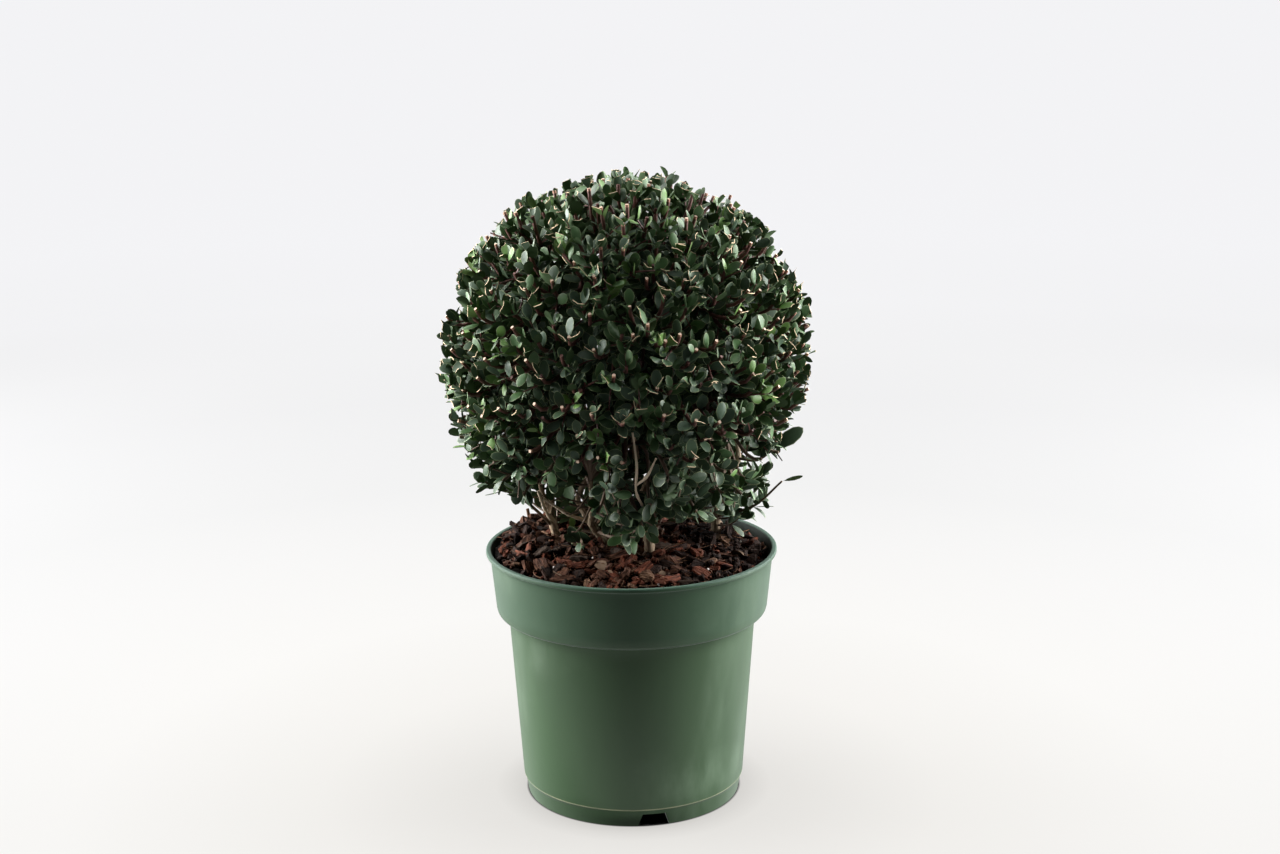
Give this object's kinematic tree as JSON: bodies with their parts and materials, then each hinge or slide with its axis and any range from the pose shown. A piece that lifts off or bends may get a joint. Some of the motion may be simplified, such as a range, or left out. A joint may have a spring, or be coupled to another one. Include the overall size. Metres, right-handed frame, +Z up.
{
  "type": "potted japanese holly ball",
  "caption": "Small evergreen shrub clipped to a dense ball on a clump of short stems, in a round collared plastic nursery pot with bark mulch.",
  "frame": {"origin": "on the pot's axis, on the surface that the pot stands on", "axes": "+Z up through the plant, -Y towards the front as pictured, +X to its right"},
  "size_m": [0.2897, 0.2918, 0.5026],
  "materials": {
    "pot_plastic": "satin",
    "bark_mulch": "matte",
    "stem_bark": "matte",
    "leaf_green": "satin"
  },
  "bodies": {
    "root": {"pot": "pot_plastic", "potting_mix": "bark_mulch", "stem_left": "stem_bark", "stem_front_left": "stem_bark", "stem_front_right": "stem_bark", "stem_back_right": "stem_bark", "stem_back_left": "stem_bark", "stem_middle": "stem_bark", "bough_lower_left": "stem_bark", "bough_upper_left": "stem_bark", "bough_lower_front_left": "stem_bark", "bough_upper_front_left": "stem_bark", "bough_lower_front_right": "stem_bark", "bough_upper_front_right": "stem_bark", "bough_lower_back_right": "stem_bark", "bough_upper_back_right": "stem_bark", "bough_lower_back_left": "stem_bark", "bough_upper_back_left": "stem_bark", "bough_leader": "stem_bark", "sprig_left": "leaf_green", "sprig_front": "leaf_green", "sprig_right": "leaf_green", "foliage_top": "leaf_green", "foliage_upper_left": "leaf_green", "foliage_lower_left": "leaf_green", "foliage_upper_front_left": "leaf_green", "foliage_lower_front_left": "leaf_green", "foliage_upper_front_right": "leaf_green", "foliage_lower_front_right": "leaf_green", "foliage_upper_back_right": "leaf_green", "foliage_lower_back_right": "leaf_green", "foliage_upper_back_left": "leaf_green", "foliage_lower_back_left": "leaf_green"}
  },
  "joints": []
}
